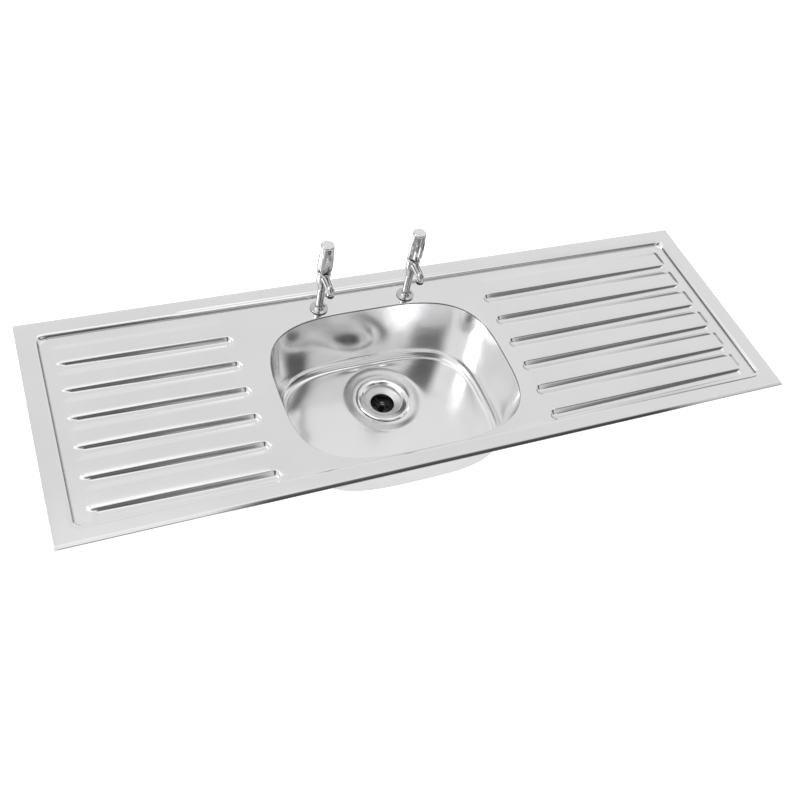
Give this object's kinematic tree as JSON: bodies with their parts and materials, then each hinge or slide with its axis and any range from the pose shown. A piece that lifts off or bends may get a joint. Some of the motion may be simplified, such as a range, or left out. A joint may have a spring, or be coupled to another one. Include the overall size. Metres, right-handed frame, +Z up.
{
  "type": "inset sink top with bowl and drainers",
  "caption": "Polished stainless inset sink top with a rounded bowl between two ribbed drainers, tall pillar taps with quarter-turn handles and a strainer waste.",
  "frame": {"origin": "centre of the rim's seat, level with the top of the worktop", "axes": "+X along the length to the right, +Y from the user's side towards the taps, +Z up"},
  "size_m": [1.5, 0.5, 0.4122],
  "materials": {
    "stainless_steel": "bright polished pressed stainless steel",
    "stainless_bowl": "mirror polished deep drawn stainless steel",
    "chrome": "bright chrome plating",
    "waste_steel": "bright polished stainless strainer",
    "zinc_steel": "zinc plated steel",
    "brass": "turned brass",
    "rubber": "black rubber",
    "foam": "closed cell sealing foam",
    "damping_pad": "matt sound damping sheet",
    "black_plastic": "moulded polypropylene",
    "grey_plastic": "moulded aerator plastic",
    "ceramic": "lapped ceramic"
  },
  "bodies": {
    "sink": {"sink_top": "stainless_steel", "bowl": "stainless_bowl", "rim_seal": "foam", "sound_pads": "damping_pad", "fixing_rails": "stainless_steel", "clip_brackets": "zinc_steel", "clip_jaws": "zinc_steel", "clip_screws": "zinc_steel", "earth_tag": "stainless_steel", "earth_screw": "brass", "earth_nut": "brass", "waste_strainer": "waste_steel", "waste_top_seal": "rubber", "waste_lower_seal": "rubber", "waste_body": "black_plastic", "waste_screw": "waste_steel", "hot_tap_body": "chrome", "hot_foot_seal": "rubber", "hot_fixing_washer": "rubber", "hot_backnut": "brass", "hot_nozzle": "chrome", "hot_aerator": "grey_plastic", "hot_headwork": "brass", "hot_fixed_disc": "ceramic", "cold_tap_body": "chrome", "cold_foot_seal": "rubber", "cold_fixing_washer": "rubber", "cold_backnut": "brass", "cold_nozzle": "chrome", "cold_aerator": "grey_plastic", "cold_headwork": "brass", "cold_fixed_disc": "ceramic"},
    "hot_handle_group": {"hot_turning_disc": "ceramic", "hot_spindle": "brass", "hot_handle": "chrome", "hot_handle_screw": "zinc_steel", "hot_index_cap": "chrome"},
    "cold_handle_group": {"cold_turning_disc": "ceramic", "cold_spindle": "brass", "cold_handle": "chrome", "cold_handle_screw": "zinc_steel", "cold_index_cap": "chrome"}
  },
  "joints": [
    {"name": "hot_handle_turn", "type": "hinge", "parent": "sink", "child": "hot_handle_group", "pos_m": [-0.162, 0.18, 0.106], "axis": [0, 0, 1], "range_deg": [0, 90]},
    {"name": "cold_handle_turn", "type": "hinge", "parent": "sink", "child": "cold_handle_group", "pos_m": [0.032, 0.18, 0.106], "axis": [0, 0, 1], "range_deg": [-90, 0]}
  ]
}
